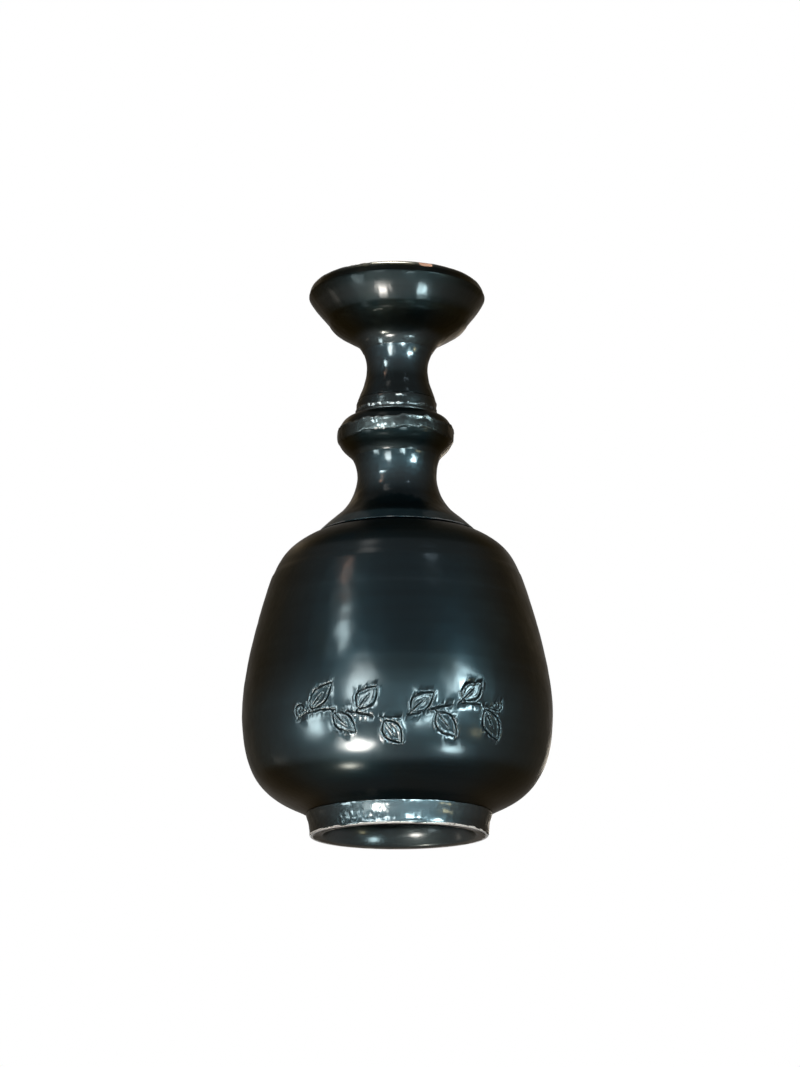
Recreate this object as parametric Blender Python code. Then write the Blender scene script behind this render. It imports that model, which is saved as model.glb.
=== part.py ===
# Bud vase in black glazed stoneware, thrown in sections and luted together:
# foot ring, body, lower neck, collar ring, joint coil, upper stem and cup.
# Metres, +Z up. The origin is the centre of the foot, on the table.

import math

import bmesh
import bpy
from mathutils import Matrix

mm = 0.001

# Fit of one thrown section to the next
seat_gap = 0.3 * mm          # between two bedding faces
spigot_gap = 0.3 * mm        # between a spigot and its bore, on the radius
lathe_steps = 48             # faces round the body, foot and cup
slim_steps = 40              # faces round the necks and rings
sharp_angle = 28.0           # degrees; a steeper fold stays crisp
weld_distance = 0.001 * mm

# Foot ring
foot_height = 7.6 * mm
foot_radius = 31.0 * mm      # outside, at the table
foot_flare = 1.4 * mm        # how much wider it is under the body
foot_width = 4.9 * mm        # of the ring, at the table
foot_worn_edge = 0.7 * mm    # rubbed outer edge
foot_inner_round = 1.6 * mm  # soft edge inside the recess

# Body
body_height = 99.2 * mm
body_wall = 4.4 * mm
body_floor = 6.0 * mm
belly_radius = 54.4 * mm     # the widest place
belly_height = 34.1 * mm     # of the widest place over the body's base
shoulder_radius = 44.6 * mm  # where the flank turns into the shoulder
shoulder_drop = 17.1 * mm    # of that turn under the body's top
boss_height = 2.2 * mm       # turned boss that drops into the foot ring
seat_ledge = 0.4 * mm        # shoulder left bare outside the flange

# Lower neck, with the flange that covers the shoulder's opening
neck_height = 28.8 * mm
neck_bore_radius = 7.8 * mm
neck_waist_radius = 14.15 * mm
neck_waist_height = 21.2 * mm
neck_top_radius = 15.8 * mm
flange_radius = 28.6 * mm
flange_height = 4.4 * mm     # of the turned band round the flange
flange_slope = 4.5 * mm      # how far the band draws in over that height
flange_edge = 0.3 * mm       # crisp upright lip under the band
tenon_radius = 14.7 * mm     # locates the neck in the shoulder
tenon_height = 5.0 * mm

# Collar ring
collar_height = 13.8 * mm
collar_radius = 20.6 * mm
collar_belly_height = 7.3 * mm
collar_ledge = 2.0 * mm      # flat top outside the joint coil
collar_spigot_wall = 2.6 * mm
collar_spigot_height = 5.5 * mm

# Joint coil, wrapped round the foot of the upper stem
coil_height = 5.8 * mm
coil_thickness = 1.75 * mm
coil_swell = 0.25 * mm
coil_swell_height = 2.6 * mm
coil_bed = 1.6 * mm          # width of the stem's own bed inside the coil

# Upper stem
stem_height = 25.4 * mm
stem_bore_radius = 6.0 * mm
stem_waist_radius = 10.9 * mm
stem_waist_height = 18.8 * mm
cup_spigot_wall = 2.9 * mm
cup_spigot_height = 4.0 * mm

# Cup
cup_height = 23.7 * mm
cup_base_radius = 13.5 * mm
cup_floor = 3.4 * mm         # clay over the socket
cup_turn_radius = 20.3 * mm  # where the flared base turns into the bowl
cup_turn_height = 5.7 * mm
cup_crease_radius = 25.5 * mm
cup_crease_height = 11.2 * mm
lip_radius = 31.5 * mm
lip_round = 3.6 * mm         # outside of the rolled lip
lip_inner_round = 1.6 * mm

# Directions of the outline, in degrees above the outward level
foot_rake = 84.0
flank_start = 44.0
flank_lean = 109.0
shoulder_end = 153.0
flare_start = 147.0
neck_end = 58.0
collar_start = 34.0
coil_start = 60.0
coil_end = 115.0
stem_start = 105.0
stem_end = 50.0
cup_turn = 34.0
cup_crease = 62.0
lip_start = -37.0
lip_end = 150.0
bowl_end = 62.0
bowl_start = 22.0

# How far each end of a curve pulls its handle, as a part of the chord
even_pull = (0.36, 0.36)
low_flank_pull = (0.14, 0.76)
high_flank_pull = (0.33, 0.20)
shoulder_pull = (0.45, 0.44)
flare_pull = (0.57, 0.10)
neck_top_pull = (0.12, 0.40)
collar_under_pull = (0.50, 0.34)
collar_over_pull = (0.40, 0.34)
stem_pull = (0.28, 0.45)
bowl_pull = (0.34, 0.42)

glaze_colours = {
    "foot_ring": (0.020, 0.019, 0.017, 1.0),
    "body": (0.012, 0.015, 0.016, 1.0),
    "lower_neck": (0.012, 0.016, 0.018, 1.0),
    "collar": (0.014, 0.015, 0.014, 1.0),
    "joint_coil": (0.024, 0.027, 0.029, 1.0),
    "upper_stem": (0.011, 0.015, 0.019, 1.0),
    "cup": (0.013, 0.013, 0.012, 1.0),
}
glaze_roughness = 0.28


def clear_scene():
    for item in list(bpy.data.objects):
        bpy.data.objects.remove(item, do_unlink=True)


def glaze(name):
    material = bpy.data.materials.new(name + "_glaze")
    material.use_nodes = True
    shader = material.node_tree.nodes["Principled BSDF"]
    shader.inputs["Base Color"].default_value = glaze_colours[name]
    shader.inputs["Roughness"].default_value = glaze_roughness
    shader.inputs["Metallic"].default_value = 0.0
    return material


def curve(start, start_angle, end, end_angle, pull, steps):
    # Points after start, as far as end, on one cubic curve of (radius, height)
    chord = math.dist(start, end)
    first, last = math.radians(start_angle), math.radians(end_angle)
    near = (start[0] + pull[0] * chord * math.cos(first),
            start[1] + pull[0] * chord * math.sin(first))
    far = (end[0] - pull[1] * chord * math.cos(last),
           end[1] - pull[1] * chord * math.sin(last))
    points = []
    for step in range(1, steps + 1):
        t = step / steps
        weights = ((1 - t) ** 3, 3 * t * (1 - t) ** 2, 3 * t * t * (1 - t), t ** 3)
        corners = (start, near, far, end)
        points.append(tuple(sum(w * p[axis] for w, p in zip(weights, corners)) for axis in (0, 1)))
    return points


def arc(centre, radius, start_angle, end_angle, steps):
    # Points of a round, both ends included
    points = []
    for step in range(steps + 1):
        angle = math.radians(start_angle + (end_angle - start_angle) * step / steps)
        points.append((centre[0] + radius * math.cos(angle), centre[1] + radius * math.sin(angle)))
    return points


def inside(point, angle, wall):
    # The place a wall's thickness behind a point of the outline
    turned = math.radians(angle)
    return (point[0] - wall * math.sin(turned), point[1] + wall * math.cos(turned))


def turn(name, outline, base, steps, parent):
    # Spins an outline of (radius, height) points round the vase's axis.
    # An outline that starts and ends on the axis is left open there.
    shape = bmesh.new()
    points = [shape.verts.new((radius, 0.0, height)) for radius, height in outline]
    pairs = list(zip(points, points[1:]))
    if outline[0][0] > 0.0:
        pairs.append((points[-1], points[0]))
    edges = [shape.edges.new(pair) for pair in pairs]
    bmesh.ops.spin(shape, geom=points + edges, cent=(0, 0, 0), axis=(0, 0, 1),
                   angle=2 * math.pi, steps=steps, use_merge=True)
    bmesh.ops.remove_doubles(shape, verts=shape.verts, dist=weld_distance)
    bmesh.ops.recalc_face_normals(shape, faces=shape.faces)
    mesh = bpy.data.meshes.new(name)
    shape.to_mesh(mesh)
    shape.free()
    mesh.shade_smooth()
    mesh.set_sharp_from_angle(angle=math.radians(sharp_angle))
    mesh.materials.append(glaze(name))
    piece = bpy.data.objects.new(name, mesh)
    piece.matrix_world = Matrix.Translation((0.0, 0.0, base))
    piece.parent = parent
    bpy.context.collection.objects.link(piece)
    return piece


def foot_outline():
    bore = foot_radius - foot_width
    top = foot_radius + foot_flare
    outline = arc((foot_radius - foot_worn_edge, foot_worn_edge), foot_worn_edge, -90, 0, 2)
    outline += curve(outline[-1], foot_rake, (top, foot_height), foot_rake, even_pull, 4)
    outline.append((bore, foot_height))
    outline += arc((bore + foot_inner_round, foot_inner_round), foot_inner_round, 180, 270, 3)
    return outline


def body_outline():
    base = (foot_radius + foot_flare, 0.0)
    belly = (belly_radius, belly_height)
    shoulder = (shoulder_radius, body_height - shoulder_drop)
    seat = (flange_radius + seat_ledge, body_height)
    opening = tenon_radius + spigot_gap
    boss = foot_radius - foot_width - spigot_gap
    floor = body_floor - boss_height
    low = inside(base, flank_start, body_wall)[0]
    inner_belly = inside(belly, 90.0, body_wall)
    inner_shoulder = inside(shoulder, flank_lean, body_wall)
    inner_seat = inside(seat, shoulder_end, body_wall)

    outline = [(0.0, -boss_height), (boss, -boss_height), (boss, 0.0), base]
    outline += curve(base, flank_start, belly, 90.0, low_flank_pull, 8)
    outline += curve(belly, 90.0, shoulder, flank_lean, high_flank_pull, 8)
    outline += curve(shoulder, flank_lean, seat, shoulder_end, shoulder_pull, 6)
    outline += [(opening, body_height), (opening, inner_seat[1]), inner_seat]
    outline += curve(inner_seat, shoulder_end - 180.0, inner_shoulder, flank_lean - 180.0,
                     even_pull, 4)
    outline += curve(inner_shoulder, flank_lean - 180.0, inner_belly, -90.0, even_pull, 5)
    outline += curve(inner_belly, -90.0, (low, floor), -180.0, even_pull, 5)
    outline.append((0.0, floor))
    return outline


def neck_outline():
    spigot = neck_bore_radius + collar_spigot_wall
    band_top = (flange_radius - flange_slope, flange_height)
    waist = (neck_waist_radius, neck_waist_height)
    outline = [(neck_bore_radius, -tenon_height), (tenon_radius, -tenon_height),
               (tenon_radius, 0.0), (flange_radius, 0.0), (flange_radius, flange_edge), band_top]
    outline += curve(band_top, flare_start, waist, 90.0, flare_pull, 8)
    outline += curve(waist, 90.0, (neck_top_radius, neck_height), neck_end, neck_top_pull, 4)
    outline += [(spigot, neck_height), (spigot, neck_height + collar_spigot_height),
                (neck_bore_radius, neck_height + collar_spigot_height)]
    return outline


def collar_outline():
    bore = neck_bore_radius + collar_spigot_wall + spigot_gap
    coil_outside = stem_bed_radius() + spigot_gap + coil_thickness
    widest = (collar_radius, collar_belly_height)
    crown = (coil_outside + collar_ledge, collar_height)
    outline = [(bore, 0.0), (neck_top_radius, 0.0)]
    outline += curve(outline[-1], collar_start, widest, 90.0, collar_under_pull, 6)
    outline += curve(widest, 90.0, crown, 180.0, collar_over_pull, 6)
    outline.append((bore, collar_height))
    return outline


def stem_bed_radius():
    return neck_bore_radius + collar_spigot_wall + coil_bed


def stem_spigot_depth():
    # The stem's spigot stops one gap short of the neck's spigot, inside the collar
    return collar_height + seat_gap - collar_spigot_height


def coil_outline():
    inner = stem_bed_radius() + spigot_gap
    outer = inner + coil_thickness
    middle = (outer + coil_swell, coil_swell_height)
    outline = [(inner, 0.0), (outer, 0.0)]
    outline += curve(outline[-1], coil_start, middle, 90.0, even_pull, 3)
    outline += curve(middle, 90.0, (outer, coil_height), coil_end, even_pull, 3)
    outline.append((inner, coil_height))
    return outline


def stem_outline():
    # The stem's own bed stands inside the coil, and its taper covers the coil's top
    spigot = neck_bore_radius + collar_spigot_wall
    bed = stem_bed_radius()
    coil_outside = bed + spigot_gap + coil_thickness
    taper = coil_height + seat_gap
    waist = (stem_waist_radius, stem_waist_height)
    cup_spigot = stem_bore_radius + cup_spigot_wall
    outline = [(stem_bore_radius, -stem_spigot_depth()), (spigot, -stem_spigot_depth()),
               (spigot, 0.0), (bed, 0.0), (bed, taper), (coil_outside, taper)]
    outline += curve(outline[-1], stem_start, waist, 90.0, stem_pull, 7)
    outline += curve(waist, 90.0, (cup_base_radius, stem_height), stem_end, even_pull, 4)
    outline += [(cup_spigot, stem_height), (cup_spigot, stem_height + cup_spigot_height),
                (stem_bore_radius, stem_height + cup_spigot_height)]
    return outline


def cup_outline():
    socket = stem_bore_radius + cup_spigot_wall + spigot_gap
    socket_top = cup_spigot_height + spigot_gap
    turn_point = (cup_turn_radius, cup_turn_height)
    crease = (cup_crease_radius, cup_crease_height)
    lip_centre = (lip_radius - lip_round, cup_height - lip_round)
    inner_centre = (lip_centre[0], cup_height - lip_inner_round)
    throat = (stem_bore_radius, socket_top + cup_floor)
    outline = [(socket, 0.0), (cup_base_radius, 0.0)]
    outline += curve(outline[-1], stem_end, turn_point, cup_turn, even_pull, 4)
    outline += curve(turn_point, cup_turn, crease, cup_crease, even_pull, 4)
    outline += arc(lip_centre, lip_round, lip_start, 90.0, 6)
    outline += arc(inner_centre, lip_inner_round, 90.0, lip_end, 2)[1:]
    outline += curve(outline[-1], bowl_end - 180.0, throat, bowl_start - 180.0, bowl_pull, 7)
    outline += [(stem_bore_radius, socket_top), (socket, socket_top)]
    return outline


def build():
    clear_scene()
    vase = bpy.data.objects.new("vase", None)
    bpy.context.collection.objects.link(vase)
    sections = [
        ("foot_ring", foot_outline(), foot_height, lathe_steps),
        ("body", body_outline(), body_height, lathe_steps),
        ("lower_neck", neck_outline(), neck_height, slim_steps),
        ("collar", collar_outline(), collar_height, slim_steps),
        ("upper_stem", stem_outline(), stem_height, slim_steps),
        ("cup", cup_outline(), cup_height, lathe_steps),
    ]
    base = 0.0
    bases = {}
    for name, outline, height, steps in sections:
        turn(name, outline, base, steps, vase)
        bases[name] = base
        base += height + seat_gap
    turn("joint_coil", coil_outline(), bases["upper_stem"], slim_steps, vase)


build()
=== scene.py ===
# Bud vase in black glazed stoneware: the finish of its seven thrown sections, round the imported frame.
# Metres, +Z up. The foot stands on the floor at z = 0 and the photograph looks along +Y from low down.
import math

import bpy
import numpy as np
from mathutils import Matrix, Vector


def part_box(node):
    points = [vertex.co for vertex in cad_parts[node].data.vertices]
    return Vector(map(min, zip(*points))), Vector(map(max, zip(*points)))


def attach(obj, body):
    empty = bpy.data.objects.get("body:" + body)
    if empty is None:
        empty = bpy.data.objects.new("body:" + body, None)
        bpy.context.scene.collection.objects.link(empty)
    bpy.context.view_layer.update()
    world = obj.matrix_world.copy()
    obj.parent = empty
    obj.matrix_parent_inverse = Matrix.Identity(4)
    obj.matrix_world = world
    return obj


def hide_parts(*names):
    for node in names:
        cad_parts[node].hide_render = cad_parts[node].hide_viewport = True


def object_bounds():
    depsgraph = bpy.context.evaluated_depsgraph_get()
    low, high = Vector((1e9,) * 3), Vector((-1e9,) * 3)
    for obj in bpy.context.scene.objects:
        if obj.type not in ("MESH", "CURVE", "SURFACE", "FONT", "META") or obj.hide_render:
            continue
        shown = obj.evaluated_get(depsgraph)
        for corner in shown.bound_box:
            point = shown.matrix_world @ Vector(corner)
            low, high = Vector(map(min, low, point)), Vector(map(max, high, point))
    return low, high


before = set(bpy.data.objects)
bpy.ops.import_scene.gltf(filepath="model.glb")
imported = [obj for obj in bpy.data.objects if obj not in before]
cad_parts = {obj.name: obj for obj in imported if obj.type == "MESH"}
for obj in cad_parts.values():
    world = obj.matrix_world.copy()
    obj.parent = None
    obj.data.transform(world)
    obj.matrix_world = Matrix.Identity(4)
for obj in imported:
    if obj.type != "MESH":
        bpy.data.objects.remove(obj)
cadLow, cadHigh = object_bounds()
mm = 0.001
print("frame loaded:", len(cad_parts), "nodes")

viewSettings = {
    "place": (0.00087, -1.1, -0.1644),
    "tiltUp": 13.92,       # degrees above the level
    "roll": -0.33,
    "lens": 107.69,        # on a 36 mm long side
}

stageSettings = {
    "floorSize": 8.0,
    "floorColour": (0.80, 0.79, 0.77, 1.0),
    "fadeFrom": 0.30,      # the floor passes into the white backdrop between these distances
    "fadeTo": 1.20,
    "fill": 0.28,          # what the world gives to matt surfaces
    "fillColour": (0.93, 0.97, 1.0, 1.0),
    "backdrop": 1.0,       # what the camera and gloss see
    "lampFade": 1.6,       # how steeply a lamp's face fades towards its rim
}

# Lamps by the way they lie from the middle of the vase: degrees right of the front, degrees above
# the level, distance, width and height in degrees, brightness, even part of the face, colour
coolLight = (0.76, 0.96, 1.0)
blueLight = (0.24, 0.60, 1.0)
warmLight = (1.0, 0.93, 0.80)
copperLight = (1.0, 0.62, 0.45)
whiteLight = (1.0, 0.985, 0.965)
lampSettings = {
    "front": (4, 6, 1.6, 96, 92, 2.4, 0.0, whiteLight),
    "window": (46, 46, 1.6, 80, 76, 2.7, 0.0, whiteLight),
    "left": (-46, 42, 1.6, 64, 64, 3.0, 0.0, whiteLight),
    "overhead": (180, 76, 1.6, 70, 70, 2.6, 0.0, whiteLight),
}

# What only the gloss shows, so that matt surfaces keep their plain light
glintSettings = {
    "frontGlow": (4, 6, 1.6, 96, 92, 3.6, 0.0, (0.50, 0.90, 1.0)),
    "windowGlow": (46, 46, 1.6, 80, 76, 6.0, 0.0, blueLight),
    "leftGlow": (-46, 42, 1.6, 64, 64, 4.0, 0.0, whiteLight),
    "overGlow": (180, 76, 1.6, 70, 70, 3.5, 0.0, whiteLight),
    "lowLeft": (-30, -43, 0.286, 20, 14, 120, 0.6, (1.0, 0.95, 0.88)),
    "lowRight": (46, -44, 0.515, 15, 9, 108, 0.5, (0.68, 0.94, 1.0)),
    "leftFront": (-24, -3, 0.254, 28, 36, 54, 0.3, (0.84, 0.98, 1.0)),
    "middleLow": (16, -17, 0.310, 18, 22, 110, 0.3, (0.72, 0.95, 1.0)),
    "rightFront": (46, 2, 0.354, 24, 24, 140, 0.3, (0.70, 0.94, 1.0)),
    "leftSide": (-58, -20, 0.320, 20, 26, 60, 0.2, coolLight),
    "leftHigh": (-43, 27, 0.600, 14, 14, 95, 0.3, coolLight),
    "leftHigher": (-46, 37, 1.6, 8, 8, 8, 0.3, copperLight),
    "leftCopper": (-52, 43, 1.6, 9, 9, 34, 0.3, copperLight),
    "leftTop": (-41, 62, 1.6, 22, 22, 9, 0.0, (1.0, 0.97, 0.92)),
    "leftUnder": (-68, -65, 0.9, 12, 10, 290, 0.2, (1.0, 0.98, 0.84)),
    "rightHigh": (38, 50, 1.6, 10, 10, 22, 0.2, (0.66, 0.86, 1.0)),
    "rightSide": (63, -16, 1.6, 8, 8, 60, 0.3, (1.0, 0.92, 0.55)),
    "backRight": (145, 18, 1.6, 9, 8, 5, 0.2, warmLight),
    "farRight": (164, 3, 1.6, 10, 8, 26, 0.2, warmLight),
    "backLeft": (-112, -25, 1.6, 12, 16, 4, 0.3, warmLight),
    "farLeft": (-150, 33, 1.6, 14, 14, 9, 0.2, warmLight),
    "overRim": (-18, 85.5, 0.1625, 20, 12, 130, 0.3, warmLight),
}


def startOn(piece):
    # One piece selected and active, in object mode
    if bpy.context.mode != "OBJECT":
        bpy.ops.object.mode_set(mode="OBJECT")
    bpy.ops.object.select_all(action="DESELECT")
    piece.select_set(True)
    bpy.context.view_layer.objects.active = piece


def vertexRows(piece, label):
    # Three numbers for each vertex, such as its place or its normal
    flat = np.zeros(len(piece.data.vertices) * 3, np.float32)
    piece.data.vertices.foreach_get(label, flat)
    return flat.reshape(-1, 3)


def places(piece):
    return vertexRows(piece, "co").astype(float)


def putPlaces(piece, spot):
    piece.data.vertices.foreach_set("co", spot.astype(np.float32).ravel())
    piece.data.update()


def pick(piece, chosen):
    # Edit mode with these vertices selected
    startOn(piece)
    bpy.ops.object.mode_set(mode="EDIT")
    bpy.ops.mesh.select_mode(type="VERT")
    bpy.ops.mesh.select_all(action="DESELECT")
    bpy.ops.object.mode_set(mode="OBJECT")
    piece.data.vertices.foreach_set("select", np.asarray(chosen, bool))
    bpy.ops.object.mode_set(mode="EDIT")


def smoothStep(low, high, value):
    t = np.clip((value - low) / (high - low), 0.0, 1.0)
    return t * t * (3.0 - 2.0 * t)


def fallOff(low, high, value):
    return 1 - smoothStep(low, high, value)


def between(rise, fall, value):
    # 1 from the end of the rise to the start of the fall, and 0 beyond them
    return smoothStep(*rise, value) * fallOff(*fall, value)


def hump(middle, half, value):
    return np.exp(-((value - middle) / half) ** 2)


def waver(angle, seed, waves):
    # A ragged wave round the axis, between about -1 and 1
    rng = np.random.default_rng(seed)
    total = np.zeros_like(angle)
    for wave in waves:
        total += np.sin(wave * angle + rng.uniform(0, 2 * math.pi)) / math.sqrt(wave)
    return total / sum(1.0 / math.sqrt(wave) for wave in waves) * 1.6


def aroundAndUp(piece):
    # Degrees right of the front, height and radius of each vertex
    spot = places(piece)
    around = np.degrees(np.arctan2(spot[:, 0], -spot[:, 1]))
    return around, spot[:, 2], np.hypot(spot[:, 0], spot[:, 1])


# Node helpers

def feed(tree, value, socket):
    # Sets the socket to a number, or links another node's output into it
    if isinstance(value, (int, float)):
        socket.default_value = value
    else:
        tree.links.new(value, socket)


def mathNode(tree, operation, *values):
    node = tree.nodes.new("ShaderNodeMath")
    node.operation = operation
    for place, value in enumerate(values):
        feed(tree, value, node.inputs[place])
    return node.outputs[0]


def rangeNode(tree, value, low, high, toLow=0.0, toHigh=1.0, curve="SMOOTHSTEP"):
    node = tree.nodes.new("ShaderNodeMapRange")
    node.interpolation_type = curve
    tree.links.new(value, node.inputs["Value"])
    for label, number in (("From Min", low), ("From Max", high), ("To Min", toLow), ("To Max", toHigh)):
        node.inputs[label].default_value = number
    return node.outputs["Result"]


# Camera, light and floor

def makeCamera():
    bpy.ops.object.camera_add(location=viewSettings["place"])
    camera = bpy.context.object
    camera.name = "photoCamera"
    camera.rotation_mode = "ZYX"
    turned = (90 + viewSettings["tiltUp"], 0.0, viewSettings["roll"])
    camera.rotation_euler = [math.radians(angle) for angle in turned]
    camera.data.sensor_width = 36.0
    camera.data.lens = viewSettings["lens"]
    camera.data.clip_start = 0.01
    camera.data.clip_end = 50.0
    bpy.context.scene.camera = camera


def makeWorld():
    world = bpy.data.worlds.new("paleStudio")
    bpy.context.scene.world = world
    world.use_nodes = True
    world.cycles.sampling_method = "NONE"
    tree = world.node_tree
    tree.nodes.clear()
    path = tree.nodes.new("ShaderNodeLightPath")
    seen = mathNode(tree, "MAXIMUM", path.outputs["Is Camera Ray"], path.outputs["Is Glossy Ray"])
    seenThrough = mathNode(tree, "MAXIMUM", seen, path.outputs["Is Transmission Ray"])
    fill = tree.nodes.new("ShaderNodeBackground")
    fill.inputs["Color"].default_value = stageSettings["fillColour"]
    fill.inputs["Strength"].default_value = stageSettings["fill"]
    backdrop = tree.nodes.new("ShaderNodeBackground")
    backdrop.inputs["Color"].default_value = (1.0, 1.0, 1.0, 1.0)
    backdrop.inputs["Strength"].default_value = stageSettings["backdrop"]
    blend = tree.nodes.new("ShaderNodeMixShader")
    tree.links.new(seenThrough, blend.inputs[0])
    tree.links.new(fill.outputs[0], blend.inputs[1])
    tree.links.new(backdrop.outputs[0], blend.inputs[2])
    output = tree.nodes.new("ShaderNodeOutputWorld")
    tree.links.new(blend.outputs[0], output.inputs["Surface"])


def makeFloor():
    bpy.ops.mesh.primitive_plane_add(size=stageSettings["floorSize"], location=(0, 0, 0))
    floor = bpy.context.object
    floor.name = "floor"
    material = bpy.data.materials.new("paleFloor")
    material.use_nodes = True
    tree = material.node_tree
    shader = tree.nodes["Principled BSDF"]
    shader.inputs["Base Color"].default_value = stageSettings["floorColour"]
    shader.inputs["Roughness"].default_value = 0.7
    shader.inputs["Specular IOR Level"].default_value = 0.2
    fromBelow = tree.nodes.new("ShaderNodeNewGeometry")
    farOut = tree.nodes.new("ShaderNodeVectorMath")
    farOut.operation = "LENGTH"
    tree.links.new(tree.nodes.new("ShaderNodeTexCoord").outputs["Object"], farOut.inputs[0])
    faded = rangeNode(tree, farOut.outputs["Value"], stageSettings["fadeFrom"], stageSettings["fadeTo"])
    unseen = mathNode(tree, "MAXIMUM", fromBelow.outputs["Backfacing"], faded)
    clear = tree.nodes.new("ShaderNodeBsdfTransparent")
    blend = tree.nodes.new("ShaderNodeMixShader")
    tree.links.new(unseen, blend.inputs[0])
    tree.links.new(shader.outputs[0], blend.inputs[1])
    tree.links.new(clear.outputs[0], blend.inputs[2])
    tree.links.new(blend.outputs[0], tree.nodes["Material Output"].inputs["Surface"])
    floor.data.materials.append(material)
    floor.visible_glossy = False    # the lamps and the backdrop below it stay in the gloss
    floor.visible_shadow = False


def softenFace(lamp, even):
    # The face fades from its even middle to its rim, as a soft box's cloth does
    lamp.data.use_nodes = True
    tree = lamp.data.node_tree
    tree.nodes.clear()
    face = tree.nodes.new("ShaderNodeNewGeometry")
    flat = tree.nodes.new("ShaderNodeVectorMath")
    flat.operation = "MULTIPLY"
    flat.inputs[1].default_value = (1.0, 1.0, 0.0)
    tree.links.new(face.outputs["Parametric"], flat.inputs[0])
    fromMiddle = tree.nodes.new("ShaderNodeVectorMath")
    fromMiddle.operation = "DISTANCE"
    fromMiddle.inputs[1].default_value = (0.5, 0.5, 0.0)
    tree.links.new(flat.outputs[0], fromMiddle.inputs[0])
    fade = rangeNode(tree, fromMiddle.outputs["Value"], even / 2, 0.5, 1.0, 0.0, "SMOOTHERSTEP")
    glow = tree.nodes.new("ShaderNodeEmission")
    tree.links.new(mathNode(tree, "POWER", fade, stageSettings["lampFade"]), glow.inputs["Strength"])
    output = tree.nodes.new("ShaderNodeOutputLight")
    tree.links.new(glow.outputs[0], output.inputs["Surface"])


def makeLamps(settings, matt, gloss):
    centre = (cadLow + cadHigh) / 2
    for name, (side, up, far, wide, tall, bright, even, colour) in settings.items():
        a, e = math.radians(side), math.radians(up)
        way = (math.sin(a) * math.cos(e), -math.cos(a) * math.cos(e), math.sin(e))
        place = [c + w * far for c, w in zip(centre, way)]
        bpy.ops.object.light_add(type="AREA", location=place)
        lamp = bpy.context.object
        lamp.name = name
        lamp.data.shape = "ELLIPSE"
        lamp.data.size = 2 * far * math.tan(math.radians(wide / 2))
        lamp.data.size_y = 2 * far * math.tan(math.radians(tall / 2))
        face = math.pi / 4 * lamp.data.size * lamp.data.size_y
        lamp.data.energy = bright * face * math.pi     # watts that give the face this brightness
        lamp.data.color = colour
        turned = (centre - lamp.location).to_track_quat("-Z", "Y")
        lamp.rotation_euler = turned.to_euler()
        lamp.visible_camera = False
        lamp.visible_diffuse = matt
        lamp.visible_glossy = gloss
        softenFace(lamp, even)


makeCamera()
makeWorld()
makeFloor()
makeLamps(lampSettings, matt=True, gloss=False)
makeLamps(glintSettings, matt=False, gloss=True)
bpy.context.scene.view_settings.view_transform = "Standard"
print("camera, floor and lamps made")


# Shader groups

def newGroup(name, inputs, outputs):
    tree = bpy.data.node_groups.new(name, "ShaderNodeTree")
    for label, kind, value in inputs:
        socket = tree.interface.new_socket(label, in_out="INPUT", socket_type=kind)
        if value is not None:
            socket.default_value = value
    for label, kind in outputs:
        tree.interface.new_socket(label, in_out="OUTPUT", socket_type=kind)
    return tree, tree.nodes.new("NodeGroupInput"), tree.nodes.new("NodeGroupOutput")


def noiseNode(tree, coords, scale, detail, rough, distort=0.0):
    node = tree.nodes.new("ShaderNodeTexNoise")
    tree.links.new(coords, node.inputs["Vector"])
    tree.links.new(scale, node.inputs["Scale"])
    node.inputs["Detail"].default_value = detail
    node.inputs["Roughness"].default_value = rough
    node.inputs["Distortion"].default_value = distort
    return node.outputs["Fac"]


def mixColour(tree, factor, first, second):
    node = tree.nodes.new("ShaderNodeMix")
    node.data_type = "RGBA"
    tree.links.new(factor, node.inputs[0])
    for place, value in ((6, first), (7, second)):
        if isinstance(value, tuple):
            node.inputs[place].default_value = (*value, 1.0)
        else:
            tree.links.new(value, node.inputs[place])
    return node.outputs[2]


def makeGlazeClouds():
    # Soft patches where the glaze pooled or broke, and small specks in it
    tree, given, out = newGroup(
        "glazeClouds",
        [("Coords", "NodeSocketVector", None), ("Patch Scale", "NodeSocketFloat", 30.0),
         ("Speck Scale", "NodeSocketFloat", 900.0)],
        [("Patch", "NodeSocketFloat"), ("Speck", "NodeSocketFloat")])
    patch = noiseNode(tree, given.outputs["Coords"], given.outputs["Patch Scale"], 4.0, 0.6, 0.4)
    tree.links.new(rangeNode(tree, patch, 0.38, 0.66), out.inputs["Patch"])
    speck = noiseNode(tree, given.outputs["Coords"], given.outputs["Speck Scale"], 2.0, 0.5)
    tree.links.new(rangeNode(tree, speck, 0.62, 0.74), out.inputs["Speck"])
    return tree


def makeThrowMarks():
    # Fine rings that the fingers and the rib left, with the skin of the glaze between them
    tree, given, out = newGroup(
        "throwMarks",
        [("Coords", "NodeSocketVector", None), ("Ring Scale", "NodeSocketFloat", 700.0),
         ("Ring", "NodeSocketFloat", 0.35), ("Skin Scale", "NodeSocketFloat", 260.0),
         ("Skin", "NodeSocketFloat", 1.0)],
        [("Height", "NodeSocketFloat"), ("Streak", "NodeSocketFloat")])
    squash = tree.nodes.new("ShaderNodeMapping")
    squash.inputs["Scale"].default_value = (0.035, 0.035, 1.0)
    tree.links.new(given.outputs["Coords"], squash.inputs["Vector"])
    ring = noiseNode(tree, squash.outputs[0], given.outputs["Ring Scale"], 3.0, 0.6)
    skin = noiseNode(tree, given.outputs["Coords"], given.outputs["Skin Scale"], 4.0, 0.55)
    ringHeight = mathNode(tree, "MULTIPLY", ring, given.outputs["Ring"])
    height = mathNode(tree, "MULTIPLY_ADD", skin, given.outputs["Skin"], ringHeight)
    tree.links.new(height, out.inputs["Height"])
    tree.links.new(rangeNode(tree, ring, 0.35, 0.68), out.inputs["Streak"])
    return tree


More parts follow.
